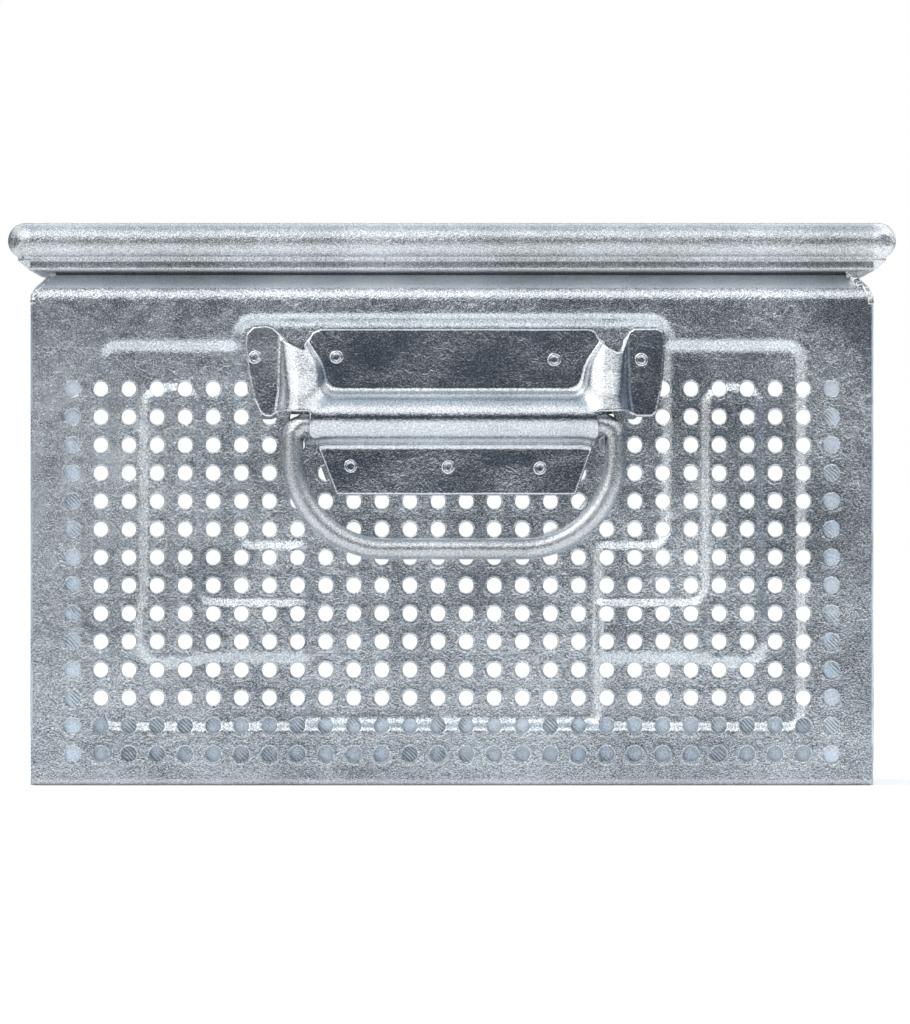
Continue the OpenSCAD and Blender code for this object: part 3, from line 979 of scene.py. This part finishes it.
wall_zinc = galvanised("wall_zinc", "galvanised_sheet", (0.60, 0.635, 0.67), 0.075, 0.09, 0.28, 0.24, 0.52,
                       worn=((-0.15, -0.2, 0.11), 0.11, 0.85))
# The same sheet as the wall, in a much lighter colour: painted light on the shoulder.
shoulder_painted_light_zinc = galvanised("shoulder_painted_light_zinc", "galvanised_sheet", (0.88, 0.94, 0.98),
                           0.42, 0.06, 0.16, 0.16, 0.3)
# A lighter, bluish copy of the sheet's zinc for the end flanges and the floor pan: painted light for what
# shows through the holes.
inner_painted_light_zinc = galvanised("inner_painted_light_zinc", "galvanised_sheet", (0.76, 0.88, 1.0), 0.45, 0.10, 0.20, 0.10, 0.4,
                        streaks=True)
rim_zinc = galvanised("rim_zinc", "galvanised_rim", (0.57, 0.59, 0.61), 0.22, 0.13, 0.44, 0.30, 0.5)
# Near-black zinc: painted shade for the crease under the rim.
crease_painted_shade_zinc = galvanised("crease_painted_shade_zinc", "galvanised_rim", (0.10, 0.11, 0.12), 0.45, 0.10, 0.50, 0.20, 0.5)
# A lighter zinc for the front right rim corner only: a painted highlight.
painted_highlight_zinc = galvanised("painted_highlight_zinc", "galvanised_rim", (0.78, 0.80, 0.82), 0.20, 0.12, 0.40, 0.40, 0.4)
plate_zinc = galvanised("plate_zinc", "galvanised_plate", (0.68, 0.71, 0.74), 0.11, 0.06, 0.16, 0.15, 0.36,
                        worn=((-0.066, -0.2, 0.154), 0.016, 0.5))
rod_zinc = galvanised("rod_zinc", "galvanised_rod", (0.58, 0.60, 0.62), 0.27, 0.10, 0.30, 0.20, 0.42)
weld_zinc = galvanised("weld_zinc", "weld_metal", (0.68, 0.70, 0.72), 0.20, 0.08, 0.20, 0.25, 0.4)
spot_zinc = galvanised("spot_zinc", "weld_metal", (0.68, 0.71, 0.74), 0.11, 0.06, 0.16, 0.15, 0.36)

make_wall("front_wall", "front", END_COLUMNS, PITCH, 32, 76.5, 52, wall_zinc, shoulder_painted_light_zinc, 1)
make_wall("rear_wall", "rear", END_COLUMNS, REAR_PITCH, 24, 76.5, 52, wall_zinc, shoulder_painted_light_zinc, 2)
for side, seed in (("left", 3), ("right", 4)):
    make_wall(side + "_wall", side, SIDE_COLUMNS, PITCH, 24, HALF_D - 100, HALF_D - 130,
              wall_zinc, shoulder_painted_light_zinc, seed)
    make_corner_flanges(side, inner_painted_light_zinc)
for side, seed in (("front", 5), ("rear", 6), ("left", 7), ("right", 8)):
    make_rim_strip(side + "_rim", side, rim_zinc, crease_painted_shade_zinc, seed)
for name, turn, sx, sy in (("front_left", 180, -1, -1), ("front_right", 270, 1, -1),
                           ("rear_left", 90, -1, 1), ("rear_right", 0, 1, 1)):
    # The front right corner gets the lighter zinc, a painted highlight; the other corners get the rim's
    # zinc.
    zinc = painted_highlight_zinc if name == "front_right" else rim_zinc
    make_rim_corner("rim_corner_" + name, turn, sx, sy, zinc, turn + 11)
for side in ("front", "rear"):
    make_handle_plate(side + "_handle_plate", side, plate_zinc)
    make_plate_welds(side + "_plate_welds", side, spot_zinc)
    make_handle(side + "_handle", side, side + "_bail", rod_zinc, 31 if side == "front" else 32)
make_corner_welds(weld_zinc)

floor_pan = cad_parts["floor_pan"]
floor_pan.data.materials.clear()
floor_pan.data.materials.append(inner_painted_light_zinc)

bpy.context.scene.view_settings.view_transform = "Standard"
